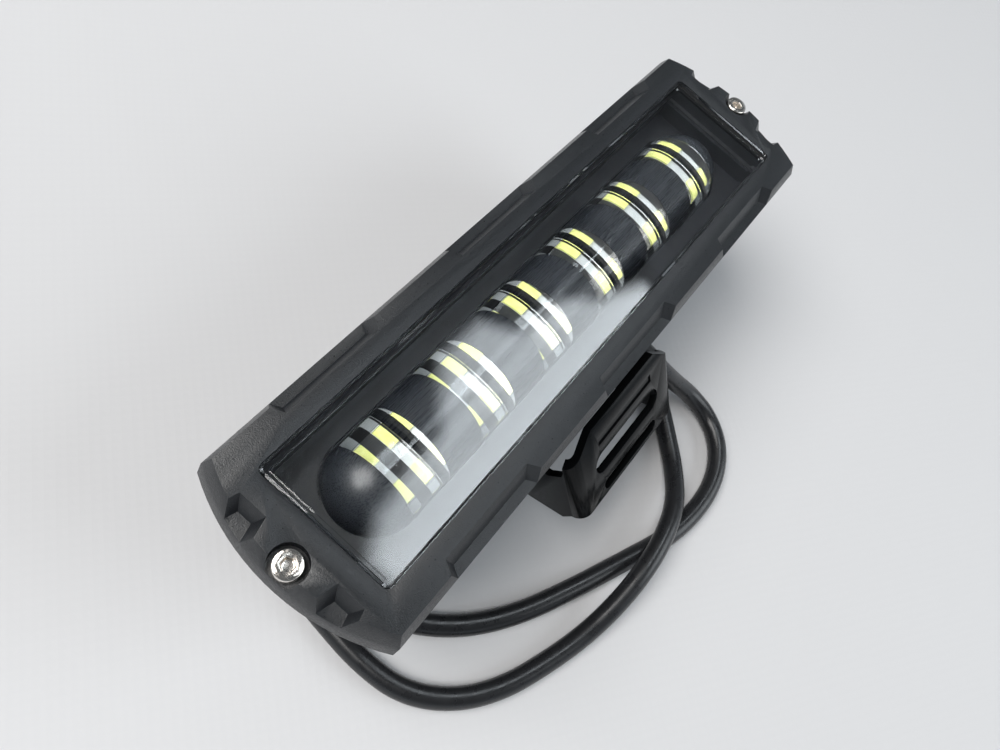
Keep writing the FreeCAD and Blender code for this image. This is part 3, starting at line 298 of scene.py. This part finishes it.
# the material of each CAD node; pieces of one kind share theirs
def node_materials():
    stainless = plain("stainless", (0.68, 0.64, 0.59), 0.2, 2600, 0.02, metallic=1.0)
    dark_steel = plain("black_oxide", (0.045, 0.045, 0.05), 0.36, 2400, 0.02, metallic=0.7)
    cast = plain("housing_coat", (0.014, 0.015, 0.017), 0.42, 1900, 0.06)
    rubber = plain("seal_rubber", (0.012, 0.012, 0.013), 0.55, 1200, 0.03)
    nylon = plain("moulded_nylon", (0.016, 0.016, 0.018), 0.48, 1600, 0.04)
    trim = plain("trim_grain", (0.006, 0.007, 0.009), 0.4, 2600, 0.05)
    core = plain("core_sheath", (0.45, 0.015, 0.012), 0.4, 900, 0.02)
    lens = clear_plastic("lens_plastic", (0.985, 0.99, 0.985))
    finishes = {
        "front_bezel": powder_coat(), "bezel_screws": stainless, "housing": cast,
        "housing_gasket": rubber, "cover_seal": rubber,
        "lens_cover": cover_finish(),
        "inner_trim": trim, "cover_retainer": trim, "lens_shroud": shroud_finish(),
        "led_board": board_finish(), "led_chips": chip_finish(),
        "thermal_pad": plain("gap_pad", (0.38, 0.4, 0.43), 0.8, 900, 0.05),
        "heat_spreader": plain("rolled_aluminium", (0.68, 0.69, 0.71), 0.32, 2200, 0.02,
                               metallic=1.0, stretch=(0.05, 1, 1)),
        "board_screws": plain("zinc", (0.58, 0.58, 0.57), 0.3, 2400, 0.02, metallic=1.0),
        "driver_board": plain("green_mask", (0.02, 0.16, 0.06), 0.35, 900, 0.02),
        "driver_coil": plain("copper_wire", (0.65, 0.29, 0.11), 0.28, 2400, 0.06, metallic=1.0,
                             stretch=(0.1, 0.1, 1)),
        "driver_capacitors": plain("can_sleeve", (0.1, 0.11, 0.16), 0.35, 1200, 0.02),
        "driver_chips": plain("chip_mould", (0.016, 0.016, 0.017), 0.5, 2400, 0.03),
        "driver_posts": cast, "lead_cores": core, "output_leads": core,
        "bracket": gloss_coat(), "pivot_bolts": dark_steel, "flat_washers": dark_steel,
        "spring_washers": dark_steel, "gland_body": nylon, "gland_nut": nylon,
        "breather_vent": plain("vent_cap", (0.05, 0.05, 0.055), 0.5, 1400, 0.03),
        "connector_boot": rubber, "connector_body": nylon,
        "connector_pins": plain("tinned_brass", (0.78, 0.66, 0.4), 0.25, 2400, 0.01, metallic=1.0),
    }
    for index in range(len(LENS_MIDDLES)):
        finishes["lens_%d" % (index + 1)] = lens
    return finishes


def cover_finish():
    """A thin clear sheet: what is behind shows through it, and lamps mirror in it."""
    return clear_plastic("cover_plastic", (0.97, 0.98, 0.985), 1.5)


def dress(finishes):
    for name, material in finishes.items():
        data = NODES[name].data
        if data.materials:
            for index in range(len(data.materials)):
                NODES[name].material_slots[index].material = material
        else:
            data.materials.append(material)


# ---------------------------------------------------------------- softened copies
SHARP_ANGLE = 32
MERGE_ANGLE = 0.6
BEVEL_STEPS = 2


def soften(node, name, width_mm, body, material):
    """A copy of a node with its edges rounded, as casting and coating leave them."""
    data = NODES[node].data.copy()
    mesh = bmesh.new()
    mesh.from_mesh(data)
    bmesh.ops.remove_doubles(mesh, verts=mesh.verts, dist=0.002 * MM)
    bmesh.ops.dissolve_limit(mesh, angle_limit=math.radians(MERGE_ANGLE), verts=mesh.verts,
                             edges=mesh.edges)
    for face in mesh.faces:
        face.smooth = True
    mesh.to_mesh(data)
    mesh.free()
    piece = bpy.data.objects.new(name, data)
    bpy.context.collection.objects.link(piece)
    data.materials.clear()
    data.materials.append(material)
    bevel = piece.modifiers.new("round", "BEVEL")
    bevel.width = width_mm * MM
    bevel.segments = BEVEL_STEPS
    bevel.limit_method = "ANGLE"
    bevel.angle_limit = math.radians(SHARP_ANGLE)
    bevel.harden_normals = True
    bevel.use_clamp_overlap = True
    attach(piece, body)
    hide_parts(node)


# ---------------------------------------------------------------- floor and light
def make_floor(material):
    data = bpy.data.meshes.new("floor")
    mesh = bmesh.new()
    bmesh.ops.create_grid(mesh, x_segments=1, y_segments=1, size=4)
    mesh.to_mesh(data)
    mesh.free()
    data.materials.append(material)
    floor = bpy.data.objects.new("floor", data)
    bpy.context.collection.objects.link(floor)


LAMP_MIDDLE = Vector((0, 0, 0.05))


def area_light(name, place, size, power, colour):
    data = bpy.data.lights.new(name, "AREA")
    data.shape = "RECTANGLE"
    data.size, data.size_y = size
    data.energy = power
    data.color = colour
    light = bpy.data.objects.new(name, data)
    bpy.context.collection.objects.link(light)
    light.location = place
    aim = Vector(place) - LAMP_MIDDLE
    light.rotation_euler = aim.to_track_quat("Z", "Y").to_euler()


# the soft box's outline as seen from below, in mm: its edge towards the lamp's far side is stepped
SOFT_BOX = [(30, -78), (34, -5), (75, 22), (185, 30), (258, 92), (325, 92), (350, 50),
            (430, 38), (470, 4), (535, -25), (535, -62)]
SOFT_BOX_HEIGHT = 0.676
SOFT_BOX_STRENGTH = 8.0
SOFT_EDGE = 16
# the card that carries it: a grid of square cells, from this Y downwards
CARD_TOP = 122
CARD_CELL = 6
CARD_COLUMNS, CARD_ROWS = 96, 40
# full brightness is reached this far towards -Y, and the far part keeps this share of it
FADE_START, FADE_LENGTH = 25, 75
FAR_SHARE = 0.55


def inside_by(point, corners):
    """How far a point lies inside an outline, in its own units, and less than 0 outside."""
    nearest, inside = math.inf, False
    for start, end in zip(corners, corners[1:] + corners[:1]):
        (ax, ay), (bx, by) = start, end
        along = Vector((bx - ax, by - ay))
        across = Vector((point[0] - ax, point[1] - ay))
        share = max(0, min(1, across.dot(along) / along.length_squared))
        nearest = min(nearest, (across - along * share).length)
        if (ay > point[1]) != (by > point[1]):
            if point[0] < ax + (bx - ax) * (point[1] - ay) / (by - ay):
                inside = not inside
    return nearest if inside else -nearest


def make_soft_box():
    """A feathered light above the lamp, which the cover and the bezel mirror."""
    data = bpy.data.meshes.new("soft_box")
    mesh = bmesh.new()
    glow = mesh.verts.layers.float.new("glow")
    grid = [[mesh.verts.new((index * CARD_CELL * MM, (CARD_TOP - row * CARD_CELL) * MM,
                             SOFT_BOX_HEIGHT))
             for index in range(CARD_COLUMNS)] for row in range(CARD_ROWS)]
    for line in grid:
        for vert in line:
            x, y = vert.co.x / MM, vert.co.y / MM
            edge = max(0, min(1, 0.5 + inside_by((x, y), SOFT_BOX) / (2 * SOFT_EDGE)))
            lean = max(0, min(1, (FADE_START - y) / FADE_LENGTH))
            vert[glow] = edge * edge * (3 - 2 * edge) * (FAR_SHARE + (1 - FAR_SHARE) * lean)
    for upper, lower in zip(grid, grid[1:]):
        for index in range(CARD_COLUMNS - 1):
            mesh.faces.new((upper[index], upper[index + 1], lower[index + 1], lower[index]))
    mesh.to_mesh(data)
    mesh.free()
    material = bpy.data.materials.new("soft_box_glow")
    material.use_nodes = True
    nodes, links = material.node_tree.nodes, material.node_tree.links
    nodes.clear()
    shape = nodes.new("ShaderNodeAttribute")
    shape.attribute_name = "glow"
    level = nodes.new("ShaderNodeMath")
    level.operation = "MULTIPLY"
    level.inputs[1].default_value = SOFT_BOX_STRENGTH
    glow_shader = nodes.new("ShaderNodeEmission")
    glow_shader.inputs["Color"].default_value = (0.88, 0.95, 1.0, 1)
    output = nodes.new("ShaderNodeOutputMaterial")
    links.new(shape.outputs["Fac"], level.inputs[0])
    links.new(level.outputs["Value"], glow_shader.inputs["Strength"])
    links.new(glow_shader.outputs["Emission"], output.inputs["Surface"])
    data.materials.append(material)
    box = bpy.data.objects.new("soft_box", data)
    box.visible_camera = False
    box.visible_shadow = False
    box.visible_diffuse = False
    bpy.context.collection.objects.link(box)


def make_light():
    world = bpy.data.worlds.new("studio")
    bpy.context.scene.world = world
    world.use_nodes = True
    background = world.node_tree.nodes["Background"]
    background.inputs["Color"].default_value = (0.84, 0.92, 1.0, 1)
    # bright low down, as walls are, and dark overhead
    tree = world.node_tree
    facing = tree.nodes.new("ShaderNodeTexCoord")
    split = tree.nodes.new("ShaderNodeSeparateXYZ")
    level = tree.nodes.new("ShaderNodeMapRange")
    level.inputs["From Min"].default_value = 0.05
    level.inputs["From Max"].default_value = 0.5
    level.inputs["To Min"].default_value = 0.85
    level.inputs["To Max"].default_value = 0.1
    tree.links.new(facing.outputs["Generated"], split.inputs["Vector"])
    tree.links.new(split.outputs["Z"], level.inputs["Value"])
    tree.links.new(level.outputs["Result"], background.inputs["Strength"])
    # overhead key, on the lamp's far side and beyond what its top faces mirror
    area_light("key", (-0.9, 0.9, 2.0), (1.6, 1.6), 58, colour=(1, 0.985, 0.965))
    # weaker light from the near side, for the floor in front and the edges that face it
    area_light("side", (0.9, -1.6, 1.3), (1.4, 1.4), 19, colour=(0.9, 0.96, 1))
    make_soft_box()


bpy.context.scene.view_settings.view_transform = "Standard"
make_camera()
make_cord(plain("cord_sheath", (0.012, 0.0125, 0.014), 0.3, 1300, 0.02))
FINISHES = node_materials()
dress(FINISHES)
soften("front_bezel", "bezel", 0.35, LAMP, FINISHES["front_bezel"])
soften("bracket", "u_bracket", 0.3, BRACKET, FINISHES["bracket"])
soften("bezel_screws", "cap_screws", 0.3, LAMP, FINISHES["bezel_screws"])
make_floor(floor_finish())
make_light()
